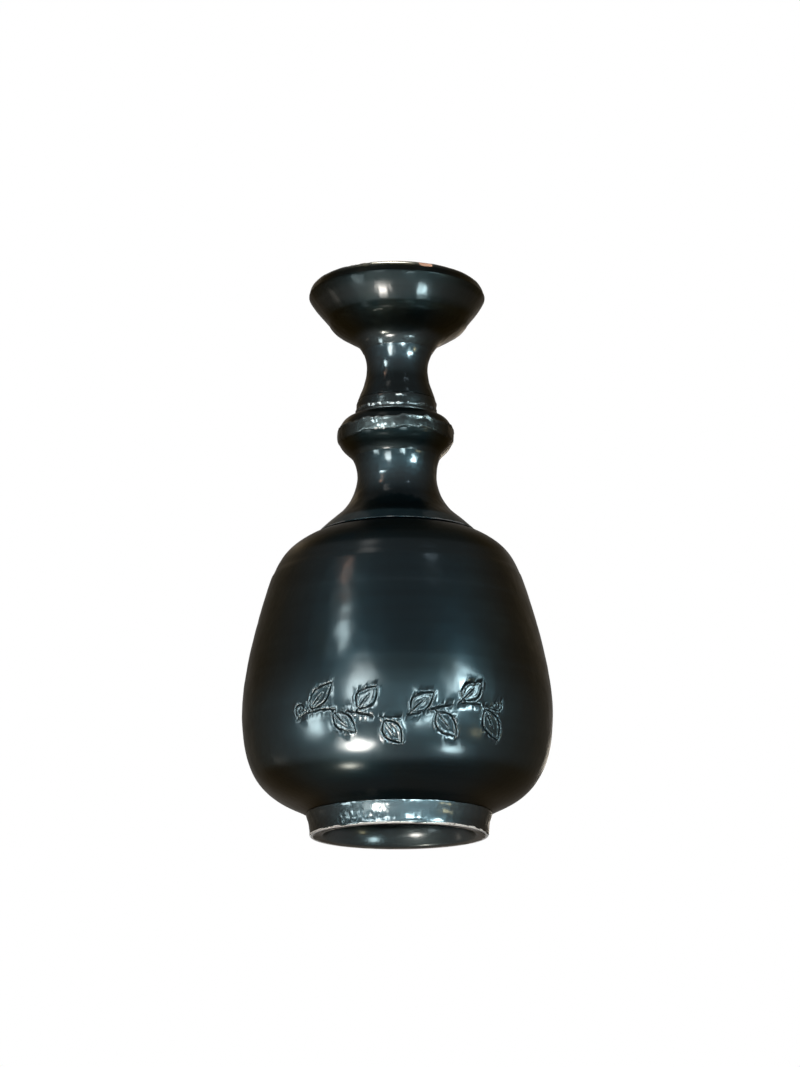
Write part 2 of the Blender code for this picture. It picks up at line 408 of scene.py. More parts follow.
def makeRaggedEdge():
    # Breaks a painted mask up into a ragged border: of rubbed or chipped glaze, and of the painted highlight
    # on the coil's crumbs
    tree, given, out = newGroup(
        "raggedEdge",
        [("Coords", "NodeSocketVector", None), ("Mask", "NodeSocketFloat", 0.0),
         ("Grain Scale", "NodeSocketFloat", 900.0)],
        [("BareAndGlint", "NodeSocketFloat")])
    grain = noiseNode(tree, given.outputs["Coords"], given.outputs["Grain Scale"], 4.0, 0.65)
    ragged = mathNode(tree, "ADD", given.outputs["Mask"], mathNode(tree, "MULTIPLY_ADD", grain, 0.9, -0.45))
    tree.links.new(rangeNode(tree, ragged, 0.42, 0.58), out.inputs["BareAndGlint"])
    return tree


glazeClouds = makeGlazeClouds()
throwMarks = makeThrowMarks()
raggedEdge = makeRaggedEdge()


def useGroup(tree, group, **values):
    node = tree.nodes.new("ShaderNodeGroup")
    node.node_tree = group
    for label, value in values.items():
        feed(tree, value, node.inputs[label.replace("_", " ")])
    return node


def painted(tree, name):
    node = tree.nodes.new("ShaderNodeAttribute")
    node.attribute_name = name
    return node.outputs["Fac"]


# What the glazes share; each adds its own coatBright, the coat's weight where the painted sheen (painted
# reflection and highlight) is full, and its own coatRoughness
glazeBase = {
    "dark": (0.0010, 0.0034, 0.0046),     # the hazy body of the glaze; its blue tint is a painted reflection of cool light at the front
    "brown": (0.0042, 0.0034, 0.0018),    # painted reflection of a brown surround where the painted brown sides are full, and the colour of the pooled patches
    "bright": (0.0066, 0.0124, 0.0150),   # painted reflection: the glaze's colour where the painted sheen is full
    "clay": (0.30, 0.28, 0.25),           # under the glaze, where bare clay is painted; on the coil a painted highlight
    "clayDark": (0.17, 0.15, 0.13),
    "mirror": 0.8,                        # the part of the light that glances off the glaze
    "edgeTint": (0.54, 0.512, 0.478, 1.0),
    "roughness": 0.38,
    "roughSpread": 0.10,
    "coat": 0.10,                         # the clear gloss over it
    "coatWarm": 0.6,                      # how much less of it the painted brown sides have
    "coatLost": 0.88,                     # how much of it goes where "satin" is painted full
    "coatSlant": (0.35, 0.85),            # it fades out between these slants to the view
    "bareRough": 0.4,                     # how much rougher the bare clay is
    "patchWarm": 0.4,                     # how brown the pooled patches are
    "patchScale": 34.0,
    "streak": 0.18,                       # how much darker the fine rings are
    "ringScale": 420.0,
    "ring": 0.35,
    "skinScale": 430.0,
    "skin": 1.0,
    "bump": 0.10 * mm,
    "bumpStrength": 0.6,
}


def glazeMaterial(name, **changes):
    s = {**glazeBase, **changes}
    material = bpy.data.materials.new(name)
    material.use_nodes = True
    tree = material.node_tree
    shader = tree.nodes["Principled BSDF"]
    coords = tree.nodes.new("ShaderNodeTexCoord").outputs["Object"]
    clouds = useGroup(tree, glazeClouds, Coords=coords, Patch_Scale=s["patchScale"])
    marks = useGroup(tree, throwMarks, Coords=coords, Ring_Scale=s["ringScale"], Ring=s["ring"],
                     Skin_Scale=s["skinScale"], Skin=s["skin"])
    bareAndGlint = useGroup(tree, raggedEdge, Coords=coords, Mask=painted(tree, "bareAndGlint")).outputs["BareAndGlint"]

    # The painted brown of the sides, a painted reflection, with the pooled patches added
    cloudy = mathNode(tree, "MULTIPLY", clouds.outputs["Patch"], s["patchWarm"])
    brownPoolsAndPaintedSides = mathNode(tree, "MAXIMUM", painted(tree, "brownPoolsAndPaintedSides"), cloudy)
    glaze = mixColour(tree, brownPoolsAndPaintedSides, s["dark"], s["brown"])
    # Painted reflection: the painted sheen lightens the glaze colour and adds coat where light falls
    glaze = mixColour(tree, painted(tree, "paintedSheen"), glaze, s["bright"])
    streak = mathNode(tree, "MULTIPLY", marks.outputs["Streak"], s["streak"])
    glaze = mixColour(tree, streak, glaze, (0.0, 0.0, 0.0))
    clay = mixColour(tree, clouds.outputs["Speck"], s["clay"], s["clayDark"])
    tree.links.new(mixColour(tree, bareAndGlint, glaze, clay), shader.inputs["Base Color"])
    mirror = mathNode(tree, "MULTIPLY_ADD", bareAndGlint, -s["mirror"], s["mirror"])
    tree.links.new(mirror, shader.inputs["Metallic"])
    rough = mathNode(tree, "MULTIPLY_ADD", clouds.outputs["Patch"], s["roughSpread"], s["roughness"])
    rough = mathNode(tree, "MULTIPLY_ADD", bareAndGlint, s["bareRough"], rough)
    tree.links.new(rough, shader.inputs["Roughness"])

    coat = mathNode(tree, "MULTIPLY_ADD", painted(tree, "paintedSheen"), s["coatBright"] - s["coat"], s["coat"])
    coat = mathNode(tree, "MULTIPLY", coat, mathNode(tree, "MULTIPLY_ADD", bareAndGlint, -1.0, 1.0))
    kept = mathNode(tree, "MULTIPLY_ADD", painted(tree, "satin"), -s["coatLost"], 1.0)
    coat = mathNode(tree, "MULTIPLY", coat, kept)
    coat = mathNode(tree, "MULTIPLY", coat, mathNode(tree, "MULTIPLY_ADD", brownPoolsAndPaintedSides, -s["coatWarm"], 1.0))
    slant = tree.nodes.new("ShaderNodeLayerWeight").outputs["Facing"]
    coat = mathNode(tree, "MULTIPLY", coat, rangeNode(tree, slant, *s["coatSlant"], 1.0, 0.0))
    tree.links.new(coat, shader.inputs["Coat Weight"])
    shader.inputs["Coat Roughness"].default_value = s["coatRoughness"]
    shader.inputs["Specular IOR Level"].default_value = 0.0
    shader.inputs["Specular Tint"].default_value = s["edgeTint"]
    bump = tree.nodes.new("ShaderNodeBump")
    bump.inputs["Strength"].default_value = s["bumpStrength"]
    bump.inputs["Distance"].default_value = s["bump"]
    tree.links.new(marks.outputs["Height"], bump.inputs["Height"])
    tree.links.new(bump.outputs["Normal"], shader.inputs["Normal"])
    return material


# Turned sections

def liftOutline(node, name):
    # The half section of a frame node, as a chain of edges on the +X side
    piece = bpy.data.objects.new(name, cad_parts[node].data.copy())
    bpy.context.scene.collection.objects.link(piece)
    piece.data.materials.clear()
    startOn(piece)
    bpy.ops.object.mode_set(mode="EDIT")
    bpy.ops.mesh.select_all(action="SELECT")
    bpy.ops.mesh.remove_doubles(threshold=0.002 * mm)
    bpy.ops.object.mode_set(mode="OBJECT")
    spot = places(piece)
    offSection = (np.abs(spot[:, 1]) > 0.01 * mm) | (spot[:, 0] < -0.01 * mm)
    pick(piece, offSection)
    bpy.ops.mesh.delete(type="VERT")
    bpy.ops.object.mode_set(mode="OBJECT")
    return piece


def nudge(piece, chosen, outward, upward):
    pick(piece, chosen)
    bpy.ops.transform.translate(value=(outward, 0.0, upward))
    bpy.ops.object.mode_set(mode="OBJECT")


def atCorner(piece, corner):
    # The outline's vertices at this radius and height
    spot = places(piece)
    return np.hypot(spot[:, 0] - corner[0], spot[:, 2] - corner[1]) < 0.1 * mm


def hollowEdge(piece, corner, nextPoint, moved, sink):
    # Draws a corner of the outline out to a feathered lip, with a hollow between it and the next point
    at = atCorner(piece, corner)
    beside = atCorner(piece, nextPoint)
    nudge(piece, at, moved[0] - corner[0], moved[1] - corner[1])
    pick(piece, at | beside)
    bpy.ops.mesh.subdivide(number_cuts=3)
    bpy.ops.object.mode_set(mode="OBJECT")
    low, high = np.array(moved), np.array(nextPoint)
    way = (high - low) / np.linalg.norm(high - low)
    spot = places(piece)
    offset = spot[:, (0, 2)] - low
    along = offset @ way / np.linalg.norm(high - low)
    aside = np.abs(offset @ np.array([-way[1], way[0]]))
    new = (aside < 0.02 * mm) & (along > 0.1) & (along < 0.9)
    bow = 4 * along[new] * (1 - along[new]) * sink
    spot[new, 0] -= way[1] * bow
    spot[new, 2] += way[0] * bow
    putPlaces(piece, spot)


# Where the painted sheen and the painted brown sides lie round the vase
paintedSheenSettings = {
    "sheenMiddle": -9.0,       # degrees right of the front
    "sheenHalf": 52.0,
    "sheenLeast": 0.18,        # what the back has of the front's sheen
    "warmMiddle": -3.0,
    "warmFrom": 20.0,          # degrees to either side, where the brown begins
    "warmTo": 58.0,            # and where it is full
}


def paintedFrontSheen(around):
    # Painted reflection: more of the painted sheen at the front, less round the back
    s = paintedSheenSettings
    return s["sheenLeast"] + (1 - s["sheenLeast"]) * hump(s["sheenMiddle"], s["sheenHalf"], around)


def spinRound(piece, steps, edge):
    # Spins the outline into a closed section, rounds its corners and makes its mesh fine
    startOn(piece)
    bpy.ops.object.mode_set(mode="EDIT")
    bpy.ops.mesh.select_all(action="SELECT")
    bpy.ops.mesh.spin(steps=steps, angle=2 * math.pi, center=(0, 0, 0), axis=(0, 0, 1))
    bpy.ops.mesh.select_all(action="SELECT")
    bpy.ops.mesh.remove_doubles(threshold=0.002 * mm)
    bpy.ops.mesh.normals_make_consistent(inside=False)
    bpy.ops.object.mode_set(mode="OBJECT")
    sharp = math.radians(29)
    applyModifier(piece, "BEVEL", width=edge, segments=2, limit_method="ANGLE", angle_limit=sharp)
    applyModifier(piece, "SUBSURF", levels=2, render_levels=2)


def applyModifier(piece, kind, **values):
    startOn(piece)
    modifier = piece.modifiers.new(kind.lower(), kind)
    for label, value in values.items():
        setattr(modifier, label, value)
    bpy.ops.object.modifier_apply(modifier=modifier.name)


def cloudTexture(name, size, depth):
    texture = bpy.data.textures.new(name, "CLOUDS")
    texture.noise_scale = size
    texture.noise_depth = depth
    return texture


def weigh(piece, name, weights):
    group = piece.vertex_groups.new(name=name)
    for index in np.nonzero(weights > 0.002)[0]:
        group.add([int(index)], float(min(weights[index], 1.0)), "REPLACE")


wobbleX = cloudTexture("wobbleX", 55 * mm, 1)
wobbleY = cloudTexture("wobbleY", 48 * mm, 1)
ringCloud = cloudTexture("ringCloud", 1.0, 2)
crumbCloud = cloudTexture("crumbCloud", 1.1 * mm, 3)
skinCloud = cloudTexture("skinCloud", 2.8 * mm, 1)
lumpCloud = cloudTexture("lumpCloud", 4.0 * mm, 2)
driftCloud = cloudTexture("driftCloud", 11 * mm, 1)

# How the luted sections really stand: sideways shift at a few heights, in millimetres, and the lip's tilt
leanSettings = {
    "heights": (0, 7, 20, 45, 90, 107, 130, 138, 143, 150, 158, 168, 178, 186, 193, 200),
    "shifts": (0.0, -0.1, -0.55, -0.40, -0.35, -0.10, 0.0, -0.30,
               -0.50, -0.35, 0.0, 0.10, 0.50, 0.60, 0.30, 0.0),
    "nod": 0.017,              # rise to the front across the cup
    "tilt": 0.0118,            # rise to the left across the cup
    "tiltFrom": 176 * mm,
    "tiltTo": 190 * mm,
    "wobble": 0.4 * mm,
}


def settle(piece):
    # The sections never stand quite true; one rule serves them all, so they still meet
    s = leanSettings
    spot = places(piece)
    across, depth, height = spot[:, 0].copy(), spot[:, 1].copy(), spot[:, 2].copy()
    spot[:, 2] -= (s["tilt"] * across + s["nod"] * depth) * smoothStep(s["tiltFrom"], s["tiltTo"], height)
    spot[:, 0] += np.interp(height / mm, s["heights"], s["shifts"]) * mm
    putPlaces(piece, spot)
    for texture, way in ((wobbleX, "X"), (wobbleY, "Y")):
        applyModifier(piece, "DISPLACE", texture=texture, direction=way, strength=s["wobble"], mid_level=0.5)


def throwRings(piece, amount, spacing):
    # Low rings up the wall, from a texture that a guide stretches to this size across it
    across = 0.35
    bpy.ops.object.empty_add(location=(0, 0, 0))
    guide = bpy.context.object
    guide.scale = (across, across, spacing)
    bpy.context.view_layer.update()
    applyModifier(piece, "DISPLACE", texture=ringCloud, texture_coords="OBJECT",
                  texture_coords_object=guide, direction="NORMAL", strength=amount, mid_level=0.5)
    bpy.data.objects.remove(guide)


def press(piece, name, weights, amount):
    # Moves the weighed surface along its normals, outwards where the amount is positive
    weigh(piece, name, weights)
    applyModifier(piece, "DISPLACE", strength=amount, mid_level=0.0, vertex_group=name)


def roughen(piece, name, weights, texture, amount, middle):
    weigh(piece, name, weights)
    applyModifier(piece, "DISPLACE", texture=texture, strength=amount, mid_level=middle, vertex_group=name)


def dress(piece, node, material, paintedSheen, satin=0.0, bareAndGlint=0.0):
    # The last steps of every piece: painted masks, material, body
    count = len(piece.data.vertices)
    around = aroundAndUp(piece)[0]
    # Painted reflection: the sides are painted brown, as a brown surround would show in the gloss
    fromFire = np.abs(around - paintedSheenSettings["warmMiddle"])
    brownPoolsAndPaintedSides = smoothStep(paintedSheenSettings["warmFrom"], paintedSheenSettings["warmTo"], fromFire)
    for name, values in (("paintedSheen", paintedSheen), ("satin", satin), ("bareAndGlint", bareAndGlint), ("brownPoolsAndPaintedSides", brownPoolsAndPaintedSides)):
        layer = piece.data.attributes.new(name, "FLOAT", "POINT")
        layer.data.foreach_set("value", np.clip(np.zeros(count) + values, 0, 1).astype(np.float32))
    startOn(piece)
    bpy.ops.object.shade_smooth()
    piece.vertex_groups.clear()
    piece.data.materials.clear()
    piece.data.materials.append(material)
    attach(piece, "root")
    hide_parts(node)
    piece.data.calc_loop_triangles()
    print(piece.name, "made:", len(piece.data.loop_triangles), "triangles")


# Foot ring

footSettings = {
    "steps": 120,
    "edge": 0.16 * mm,
    "hollow": 0.28 * mm,       # how far the outer wall is drawn in
    "hollowAt": (4.2 * mm, 2.2 * mm),    # middle and half height of the hollow
    "spread": 0.25 * mm,       # how far the standing edge spreads
    "spreadAt": (0.3 * mm, 0.9 * mm),
    "innerWall": 28 * mm,      # the recess lies inside this radius
    "innerSlope": 1.5 * mm,    # how far the low part of its wall leans in
    "slopeFrom": 1.6 * mm,     # height of the wall's corner in the frame's outline
    "slopeTop": 4.7 * mm,      # height that the corner is drawn up to
    "rings": 0.12 * mm,
    "ringSpacing": 1.5 * mm,
    "lumps": 0.40 * mm,
    "wornRadius": 30.5 * mm,   # the rubbed line on the standing edge
    "wornIn": 1.1 * mm,        # how much further in it lies at the front
    "wornHalf": 0.62 * mm,     # half its width, which is greater at the front
    "wornEnds": (0.45 * mm, 0.9 * mm),   # heights between which it fades out
    "pitDepth": 0.85 * mm,
    "pitHeights": ((0.9 * mm, 1.5 * mm), (4.4 * mm, 5.4 * mm)),
    "pitFrom": -44,            # degrees right of the front
    "pitTo": -6,
    "pitElsewhere": 0.12,      # how deep the pits are beside that stretch
    "frontSheenAt": (6.0, 34.0),   # middle and half width of the front's painted sheen, in degrees
    # painted reflection in the recess
    "recessSheen": 0.32,
    "glaze": {
        "bright": (0.018, 0.030, 0.035),
        "clay": (0.92, 0.86, 0.80),
        "clayDark": (0.30, 0.28, 0.25),
        "coatBright": 1.0,
        "coatRoughness": 0.19,
        "coatWarm": 0.2,
        "skinScale": 520.0,
        "skin": 1.1,
        "bump": 0.15 * mm,
    },
}


def makeFootRing():
    s = footSettings
    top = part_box("foot_ring")[1].z
    piece = liftOutline("foot_ring", "footRing")
    nudge(piece, places(piece)[:, 2] > top - 0.05 * mm, 0.0, 0.3 * mm)    # up to the body
    spot = places(piece)
    inner = (spot[:, 0] < s["innerWall"]) & (spot[:, 2] > top - 0.05 * mm)
    nudge(piece, inner, -s["innerSlope"], 0.0)
    spot = places(piece)
    shoulder = (spot[:, 0] < s["innerWall"]) & (np.abs(spot[:, 2] - s["slopeFrom"]) < 0.1 * mm)
    nudge(piece, shoulder, -s["innerSlope"], s["slopeTop"] - s["slopeFrom"])
    spinRound(piece, s["steps"], s["edge"])
    around, height, radius = aroundAndUp(piece)
    outside = smoothStep(29.8 * mm, 30.6 * mm, radius)
    press(piece, "hollow", outside * hump(*s["hollowAt"], height), -s["hollow"])
    press(piece, "spread", outside * hump(*s["spreadAt"], height), s["spread"])
    settle(piece)
    throwRings(piece, s["rings"], s["ringSpacing"])
    around, height, radius = aroundAndUp(piece)
    turn = np.radians(around)
    outside = smoothStep(29.3 * mm, 30.3 * mm, radius)
    stretch = between((s["pitFrom"] - 4, s["pitFrom"] + 4), (s["pitTo"] - 6, s["pitTo"] + 6), around)
    pitted = outside * between(*s["pitHeights"], height)
    pitted *= s["pitElsewhere"] + (1 - s["pitElsewhere"]) * stretch
    roughen(piece, "lumps", outside * smoothStep(0.8 * mm, 1.6 * mm, height), lumpCloud, s["lumps"], 0.5)
    roughen(piece, "pits", pitted, crumbCloud, s["pitDepth"], 0.6)

    around, height, radius = aroundAndUp(piece)
    front = np.clip(np.cos(turn), 0, 1)
    middle = s["wornRadius"] - s["wornIn"] * front + 0.18 * mm * waver(turn, 6, (5, 11, 19, 33))
    fromLine = np.hypot(radius - middle, height - 0.05 * mm)
    half = s["wornHalf"] * (0.8 + 1.9 * front) * (1 + 0.25 * waver(turn, 4, (3, 7, 13, 22, 37)))
    worn = fallOff(half * 0.6, half * 1.6, fromLine) * fallOff(*s["wornEnds"], height)
    # Painted sheen: more at the front and on the upper wall, less towards the standing edge, and a painted
    # reflection in the recess
    under = fallOff(0.15 * mm, 0.6 * mm, height)
    footFrontSheen = 0.25 * paintedFrontSheen(around) + 0.75 * hump(*s["frontSheenAt"], around)
    footFrontSheen *= 0.72 + 0.40 * smoothStep(2.6 * mm, 5.0 * mm, height)
    paintedSheen = np.where(radius < s["innerWall"] - 0.5 * mm, s["recessSheen"], footFrontSheen * (1 - 0.9 * under))
    dress(piece, "foot_ring", glazeMaterial("footGlaze", **s["glaze"]), paintedSheen, bareAndGlint=worn)


# Body, with a leafy sprig drawn into the belly

bodySettings = {
    "steps": 72,
    "edge": 0.25 * mm,
    "swell": 0.22 * mm,
    "rings": 0.11 * mm,
    "ringSpacing": 6.5 * mm,
    "drift": 0.16 * mm,        # slow unevenness of the wall
    "skin": 0.16 * mm,
    "sheenLow": 19.2 * mm,
    "sheenHigh": 58 * mm,
    "coatTop": 96.6 * mm,      # above this line the glaze is darker
    "lines": (81.0, 69.2, 53.1),   # faint turned lines, in millimetres up
    # Painted sheen: a band of painted reflection round the belly, some above it, and a painted highlight on
    # the burr
    "bellySheen": 0.72,
    "upperSheen": 0.17,
    "lineSheen": 0.10,
    "grooveLoss": 0.35,        # painted shade: how much less of the painted sheen the sprig's grooves have
    "burrSheen": 0.5,
    "topSatin": 0.8,
    "glaze": {"coatBright": 0.56, "coatRoughness": 0.19},
}

sprigSettings = {
    "left": -36 * mm,          # measured round the belly from the front
    "right": 37 * mm,
    "height": 34.5 * mm,
    "swing": 2.2 * mm,
    "leaves": 8,
    "leafLength": 13.0 * mm,
    "leafWidth": 6.0 * mm,
    "refine": ((1.6 * mm, 4), (1.0 * mm, 1)),   # cuts made in the mesh this near to a stroke
    "strokeHalf": 0.46 * mm,
    "depth": 0.58 * mm,
    "burr": 0.75 * mm,
}


def bowedLine(start, angle, length, bow, count, bend=0.0):
    # Points from a start along an angle, bowed to one side, with the far end bending off
    points = []
    for k in np.linspace(0, 1, count):
        ahead = length * k
        aside = math.sin(math.pi * k ** 0.85) * bow + bend * k * k
        points.append((start[0] + math.cos(angle) * ahead - math.sin(angle) * aside,
                       start[1] + math.sin(angle) * ahead + math.cos(angle) * aside))
    return np.array(points)


def curlLine(start, angle, size, turns, side):
    # A tendril that winds up on itself
    points = [start]
    x, y = start
    steps = 40
    for k in range(steps):
        reach = size * (1 - 0.85 * k / steps)
        angle += side * 2 * math.pi * turns / steps
        x += math.cos(angle) * reach * 2 * math.pi * turns / steps
        y += math.sin(angle) * reach * 2 * math.pi * turns / steps
        points.append((x, y))
    return np.array(points)


def sprigStrokes():
    # Strokes of (way round the belly, height): a waving stem, leaves in turn above and below it
    s = sprigSettings
    rng = np.random.default_rng(12)

    def stemAt(t):
        u = s["left"] + (s["right"] - s["left"]) * t
        return u, s["height"] + s["swing"] * math.sin(2 * math.pi * 1.4 * t + 0.5) + 2.5 * mm * (t - 0.5)

    stem = np.array([stemAt(t) for t in np.linspace(0, 1, 90)])
    strokes = [(stem, 1.05)]
    for leaf in range(s["leaves"]):
        t = (leaf + 0.45) / (s["leaves"] + 0.15)
        start = np.array(stemAt(t))
        side = 1 if leaf % 2 == 0 else -1
        angle = side * math.radians(rng.uniform(46, 60))
        length = s["leafLength"] * rng.uniform(0.84, 1.04)
        half = s["leafWidth"] / 2 * rng.uniform(0.9, 1.1)
        stalk = 1.6 * mm
        base = start + stalk * np.array([math.cos(angle), math.sin(angle)])
        bend = -side * 1.2 * mm
        strokes.append((np.array([start, (start + base) / 2, base]), 0.9))
        strokes.append((bowedLine(base, angle, length - stalk, half, 30, bend), 1.0))
        strokes.append((bowedLine(base, angle, length - stalk, -half, 30, bend), 1.0))
        strokes.append((bowedLine(base, angle, (length - stalk) * 0.6, 0.0, 14, bend * 0.36), 0.7))
    strokes.append((curlLine(tuple(stem[0]), math.radians(150), 2.6 * mm, 0.95, -1), 0.9))
    strokes.append((curlLine(tuple(stem[-1]), math.radians(10), 2.3 * mm, 0.95, 1), 0.9))
    return strokes


def lineDistance(spots, line):
    # The shortest way from each spot to a chain of points, and how far along the chain it lies
    best = np.full(len(spots), 1.0)
    along = np.zeros(len(spots))
    low, high = line.min(0) - 3 * mm, line.max(0) + 3 * mm
    near = np.nonzero(((spots > low) & (spots < high)).all(1))[0]
    if len(near):
        a, b = line[:-1], line[1:]
        d = b - a
        p = spots[near][:, None, :]
        t = np.clip(((p - a) * d).sum(2) / (d * d).sum(1), 0, 1)
        gap = np.linalg.norm(p - (a + t[..., None] * d), axis=2)
        nearest = gap.argmin(1)
        best[near] = gap.min(1)
        along[near] = (nearest + t[np.arange(len(near)), nearest]) / len(a)
    return best, along


def wallCurve(piece):
    # Heights and radii up the outer wall, from the vertices on the +X side
    spot = places(piece)
    outward = vertexRows(piece, "normal")[:, 0] > 0.3
    wall = outward & (np.abs(spot[:, 1]) < 0.02 * mm) & (spot[:, 0] > 44 * mm) & (spot[:, 2] < 88 * mm)
    order = np.argsort(spot[wall][:, 2])
    return spot[wall][order, 2], spot[wall][order, 0]


def unrolled(piece, level, reach):
    # The outer wall laid flat: way round the belly, height; all else is put far off
    around, height, radius = aroundAndUp(piece)
    outer = np.abs(radius - np.interp(height, level, reach)) < 1.6 * mm
    spots = np.stack([np.radians(around) * reach.max(), height], 1)
    spots[~outer] = 9.0
    return spots


def roundOut(piece, level, reach, chosen):
    # Puts the new vertices back on the turned surface, on a smooth curve through its rings
    spot = places(piece)
    z = spot[chosen, 2]
    slope = np.gradient(reach, level)
    i = np.clip(np.searchsorted(level, z) - 1, 0, len(level) - 2)
    gap = level[i + 1] - level[i]
    t = (z - level[i]) / gap
    radius = ((2 * t ** 3 - 3 * t ** 2 + 1) * reach[i] + (t ** 3 - 2 * t ** 2 + t) * gap * slope[i]
              + (-2 * t ** 3 + 3 * t ** 2) * reach[i + 1] + (t ** 3 - t ** 2) * gap * slope[i + 1])
    flat = np.hypot(spot[chosen, 0], spot[chosen, 1])
    spot[chosen, :2] *= (radius / flat)[:, None]
    putPlaces(piece, spot)


def drawSprig(piece, level, reach):
    # Finer mesh near the strokes, then a groove with a ragged burr along both its lips
    s = sprigSettings
    strokes = sprigStrokes()

    def nearest():
        spots = unrolled(piece, level, reach)
        return np.min([lineDistance(spots, line)[0] for line, weight in strokes], axis=0)

    for reachOut, cuts in s["refine"]:
        pick(piece, nearest() < reachOut)
        bpy.ops.mesh.subdivide(number_cuts=cuts)
        bpy.ops.object.mode_set(mode="OBJECT")
        roundOut(piece, level, reach, nearest() < reachOut * 1.9)

    spots = unrolled(piece, level, reach)
    cut = np.zeros(len(spots))
    burr = np.zeros(len(spots))
    for number, (line, weight) in enumerate(strokes):
        gap, along = lineDistance(spots, line)
        pressed = (0.55 + 0.45 * np.sin(np.pi * np.clip(along, 0, 1)) ** 0.5) * weight
        half = s["strokeHalf"] * pressed * (1 + 0.15 * np.sin(spots[:, 0] / mm * 1.9 + number))
        cut = np.maximum(cut, np.where(gap < 3 * half, hump(0.0, 0.75 * half, gap) * pressed, 0.0))
        burr = np.maximum(burr, np.where(gap < 5 * half, hump(1.55 * half, 0.55 * half, gap), 0.0))
    burr *= 1 - smoothStep(0.15, 0.5, cut)
    press(piece, "cut", cut, -s["depth"])
    roughen(piece, "burr", burr, crumbCloud, s["burr"], 0.12)
    return cut, burr


def makeBody():
    s = bodySettings
    piece = liftOutline("body", "bodyShell")
    spinRound(piece, s["steps"], s["edge"])
    level, reach = wallCurve(piece)
    cut, burr = drawSprig(piece, level, reach)

    around, height, radius = aroundAndUp(piece)
    outside = smoothStep(-1.6 * mm, -1.2 * mm, radius - np.interp(height, level, reach))
    flank = between((14 * mm, 26 * mm), (90 * mm, 100 * mm), height)
    press(piece, "swell", outside * flank, s["swell"])
    roughen(piece, "drift", outside * flank, driftCloud, s["drift"], 0.5)
    roughen(piece, "skin", outside * flank, lumpCloud, s["skin"], 0.5)
    settle(piece)
    throwRings(piece, s["rings"], s["ringSpacing"])

    around, height, radius = aroundAndUp(piece)
    turn = np.radians(around)
    lowEdge = s["sheenLow"] + 0.9 * mm * waver(turn, 7, (2, 3, 5))
    belly = smoothStep(lowEdge - 1.2 * mm, lowEdge + 2.5 * mm, height)
    belly *= s["bellySheen"] * fallOff(s["sheenHigh"] - 20 * mm, s["sheenHigh"], height)
    upper = s["upperSheen"] * smoothStep(45 * mm, 60 * mm, height)
    upper *= fallOff(s["coatTop"] - 0.5 * mm, s["coatTop"] + 0.4 * mm, height)
    lines = sum(hump(z * mm, 0.6 * mm, height) for z in s["lines"])
    lines *= 0.5 + 0.5 * waver(turn, 8, (1, 2, 4))
    # Painted reflection and highlight: the belly band, faint lines and burr lighter, the grooves darker as
    # painted shade
    paintedSheen = paintedFrontSheen(around) * (belly + upper) + s["lineSheen"] * np.clip(lines, 0, 1)
    paintedSheen += s["burrSheen"] * burr - s["grooveLoss"] * cut
    satin = s["topSatin"] * smoothStep(s["coatTop"] - 2 * mm, s["coatTop"] + 2 * mm, height)
    dress(piece, "body", glazeMaterial("bodyGlaze", **s["glaze"]), paintedSheen, satin)


# Lower neck with its flange

neckSettings = {
    "steps": 80,
    "edge": 0.14 * mm,
    "rings": 0.03 * mm,
    "ringSpacing": 4.5 * mm,
    "drift": 0.14 * mm,
    "skin": 0.16 * mm,
    "flangeDrop": 0.22 * mm,   # how far the flange's underside comes down towards the body
    "flangeEdge": (28.7 * mm, 107.5 * mm),   # radius and height of the edge that is rubbed thin
    "worn": 0.62,
    "topSheen": 0.75,
    "flangeSatin": 0.8,
    "glaze": {
        "bright": (0.0085, 0.0160, 0.0192),
        "clay": (0.11, 0.11, 0.11),
        "clayDark": (0.05, 0.05, 0.05),
        "coatBright": 0.75,
        "coatRoughness": 0.14,
    },
}


def makeLowerNeck():
    s = neckSettings
    piece = liftOutline("lower_neck", "lowerNeck")
    spot = places(piece)
    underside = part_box("body")[1].z + 0.3 * mm
    flange = (np.abs(spot[:, 2] - underside) < 0.4 * mm) & (spot[:, 0] > 15 * mm)
    nudge(piece, flange, 0.0, -s["flangeDrop"])
    spinRound(piece, s["steps"], s["edge"])
    outside = smoothStep(13 * mm, 13.6 * mm, aroundAndUp(piece)[2])
    roughen(piece, "drift", outside, driftCloud, s["drift"], 0.5)
    roughen(piece, "skin", outside, skinCloud, s["skin"], 0.5)
    settle(piece)
    throwRings(piece, s["rings"], s["ringSpacing"])
    around, height, radius = aroundAndUp(piece)
    turn = np.radians(around)
    fromEdge = np.hypot(radius - s["flangeEdge"][0], height - s["flangeEdge"][1])
    worn = s["worn"] * fallOff(0.25 * mm, 0.6 * mm, fromEdge)
    worn *= 0.75 + 0.3 * waver(turn, 9, (3, 8, 19, 31))
    # Painted reflection: painted sheen on the upper neck and the flange's band, more at the front
    top = s["topSheen"] * smoothStep(119 * mm, 129 * mm, height)
    top *= 1 - 0.5 * smoothStep(131 * mm, 134.5 * mm, height)
    band = fallOff(111 * mm, 112 * mm, height) * smoothStep(24 * mm, 25 * mm, radius)
    satin = s["flangeSatin"] * fallOff(113 * mm, 118 * mm, height)
    dress(piece, "lower_neck", glazeMaterial("neckGlaze", **s["glaze"]),
          (top + band) * paintedFrontSheen(around), satin, worn)


# Collar ring, with a torn coat of slip dragged round its crown

